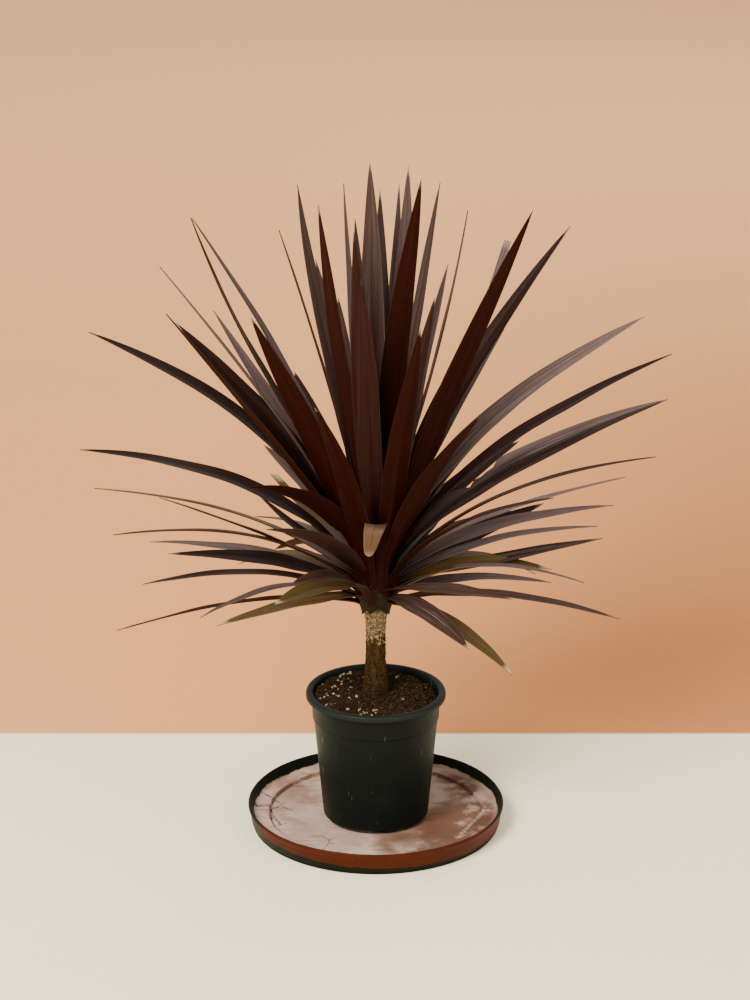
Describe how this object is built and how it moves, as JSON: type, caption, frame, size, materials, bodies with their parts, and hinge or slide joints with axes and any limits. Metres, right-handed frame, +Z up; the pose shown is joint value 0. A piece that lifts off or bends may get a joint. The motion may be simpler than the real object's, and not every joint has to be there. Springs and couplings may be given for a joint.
{
  "type": "potted red star cordyline",
  "caption": "Spiky rosette of long narrow burgundy leaves on a short bare stem, growing in a round dark nursery pot that stands on a wide terracotta saucer.",
  "frame": {"origin": "centre of the saucer's flat underside, on the surface that the saucer stands on and on the axis of saucer, pot and stem", "axes": "+Z up along the stem, the longest side of the whole; +Y away from the picture's viewer, +X to the viewer's right"},
  "size_m": [0.6921, 0.5642, 0.843],
  "materials": {
    "leaf_dark": "smooth waxy leaf, dark burgundy brown",
    "leaf_bronze": "smooth waxy leaf, bronze",
    "leaf_mauve": "smooth waxy leaf, greyish mauve with fine lengthwise lines",
    "leaf_olive": "ageing leaf, olive green with dry cream tips",
    "stem_bark": "rough, pale above with brown leaf scars, fibrous brown below",
    "soil": "loose moist peat with white perlite",
    "pot_plastic": "dark green-black moulded plastic, lightly scuffed",
    "saucer_plastic": "terracotta moulded plastic, limescale and dirt inside"
  },
  "bodies": {
    "root": {"saucer": "saucer_plastic", "pot": "pot_plastic", "soil": "soil", "stem": "stem_bark", "leaves_01_02_03_05_06_10_11_12_13": "leaf_dark", "leaf_04": "leaf_mauve", "leaves_07_08_16_20_21_22_23_51_52_72_74_75_77": "leaf_dark", "leaves_09_18_19_42": "leaf_bronze", "leaves_14_15_43_45_65_68_69_70_90": "leaf_dark", "leaves_17_24": "leaf_dark", "leaf_25": "leaf_mauve", "leaves_26_27_37": "leaf_dark", "leaf_28": "leaf_mauve", "leaves_29_30_31_32_38": "leaf_mauve", "leaves_33_34": "leaf_bronze", "leaf_35": "leaf_bronze", "leaves_36_40_80": "leaf_mauve", "leaves_39_82_88": "leaf_mauve", "leaf_41": "leaf_dark", "leaves_44_46_47_48_64": "leaf_mauve", "leaves_49_73": "leaf_bronze", "leaf_50": "leaf_dark", "leaf_53": "leaf_bronze", "leaves_54_55": "leaf_dark", "leaf_56": "leaf_bronze", "leaf_57": "leaf_dark", "leaves_58_60_61_62_63": "leaf_dark", "leaf_59": "leaf_dark", "leaves_66_81_83": "leaf_mauve", "leaves_67_76": "leaf_dark", "leaf_71": "leaf_bronze", "leaf_78": "leaf_bronze", "leaf_79": "leaf_dark", "leaves_84_87": "leaf_dark", "leaf_85": "leaf_olive", "leaf_86": "leaf_bronze", "leaf_89": "leaf_olive"}
  },
  "joints": []
}
